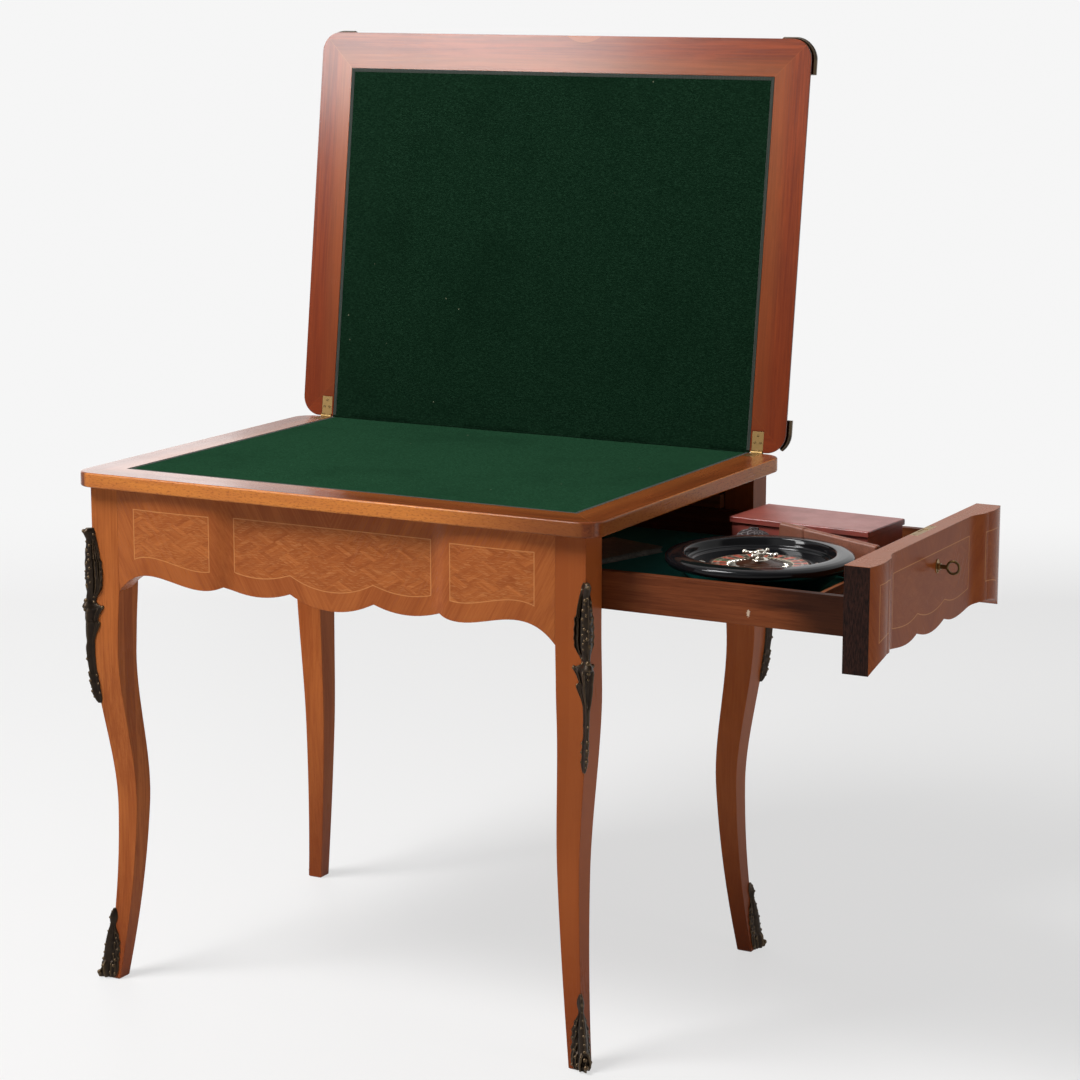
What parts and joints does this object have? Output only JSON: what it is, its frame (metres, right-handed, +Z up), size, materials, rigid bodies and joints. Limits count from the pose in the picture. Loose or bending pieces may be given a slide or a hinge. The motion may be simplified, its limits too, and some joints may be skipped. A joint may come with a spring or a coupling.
{
  "type": "games table with folding top",
  "caption": "Folding baize-lined games table on curved legs with bronze corner mounts, scalloped aprons and a side drawer that holds a roulette set.",
  "frame": {"origin": "on the floor, under the middle of the frame", "axes": "+X to the side where the drawer opens, -Y to the long front, +Z up"},
  "size_m": [1.2111, 0.7001, 1.3476],
  "materials": {
    "show_wood": "polished veneer",
    "inner_wood": "plain oiled wood",
    "bronze": "dark patina",
    "brass": "aged, satin",
    "iron": "oiled",
    "baize": "napped wool cloth",
    "lining": "thin felt",
    "black_bowl": "gloss",
    "nickel": "polished nickel",
    "wheel_wood": "dark lacquer",
    "ring_print": "red and black enamel",
    "red_board": "covered card, worn",
    "case_leather": "grained",
    "pouch_cloth": "printed cotton",
    "pad_board": "worn, folded"
  },
  "bodies": {
    "frame": {"leg_back_right": "show_wood", "leg_back_left": "show_wood", "leg_front_left": "show_wood", "leg_front_right": "show_wood", "knee_mount_back_right": "bronze", "knee_mount_back_left": "bronze", "knee_mount_front_left": "bronze", "knee_mount_front_right": "bronze", "foot_mount_back_right": "bronze", "foot_mount_back_left": "bronze", "foot_mount_front_left": "bronze", "foot_mount_front_right": "bronze", "front_apron": "show_wood", "back_apron": "show_wood", "left_apron": "show_wood", "upper_drawer_rail": "show_wood", "lower_drawer_rail": "inner_wood", "drawer_runners": "inner_wood", "drawer_kickers": "inner_wood", "pivot_board": "inner_wood", "cross_rail": "inner_wood"},
    "lower_top": {"lower_top": "show_wood", "lower_baize": "baize", "hinge_lower_left": "brass", "hinge_lower_right": "brass", "hinge_pins": "brass", "pivot_pin": "iron", "pivot_washer": "iron", "pivot_nut": "iron", "stop_peg": "iron"},
    "leaf": {"leaf": "show_wood", "leaf_baize": "baize", "hinge_upper_left": "brass", "hinge_upper_right": "brass", "leaf_clasp_hinge_left": "bronze", "leaf_clasp_hinge_right": "bronze", "leaf_clasp_far_left": "bronze", "leaf_clasp_far_right": "bronze"},
    "drawer": {"drawer_front": "show_wood", "drawer_side_front": "inner_wood", "drawer_side_back": "inner_wood", "drawer_back": "inner_wood", "drawer_bottom": "inner_wood", "drawer_lining": "lining", "drawer_divider": "inner_wood", "lock_case": "brass", "escutcheon": "brass", "roulette_bowl": "black_bowl", "deflectors": "nickel", "game_box": "red_board", "game_box_lid": "red_board", "leather_case": "case_leather", "counter_pouch": "pouch_cloth", "counters": "black_bowl", "score_pad": "pad_board"},
    "lock_bolt": {"lock_bolt": "brass"},
    "key": {"key": "brass"},
    "rotor": {"rotor": "wheel_wood", "number_ring": "ring_print", "turret": "nickel"}
  },
  "joints": [
    {"name": "top_swivel", "type": "hinge", "parent": "frame", "child": "lower_top", "pos_m": [0.15015, 0.15015, 0.7287], "axis": [0, 0, 1], "range_deg": [0, 90]},
    {"name": "leaf_fold", "type": "hinge", "parent": "lower_top", "child": "leaf", "pos_m": [0, 0.3003, 0.7503], "axis": [-1, 0, 0], "range_deg": [-97.4, 82.6]},
    {"name": "drawer_slide", "type": "slide", "parent": "frame", "child": "drawer", "axis": [1, 0, 0], "range_m": [-0.374, 0.045]},
    {"name": "key_turn", "type": "hinge", "parent": "drawer", "child": "key", "pos_m": [0.76, 0.018, 0.6712], "axis": [1, 0, 0], "range_deg": [0, 360]},
    {"name": "bolt_slide", "type": "slide", "parent": "drawer", "child": "lock_bolt", "axis": [0, 0, 1], "range_m": [0, 0.008]},
    {"name": "rotor_spin", "type": "hinge", "parent": "drawer", "child": "rotor", "pos_m": [0.55599, -0.09799, 0.675], "axis": [0, 0, 1], "continuous": true}
  ],
  "couplings": [
    {"joint": "key_turn", "follows": "bolt_slide", "rad_per_m": 785.4}
  ]
}
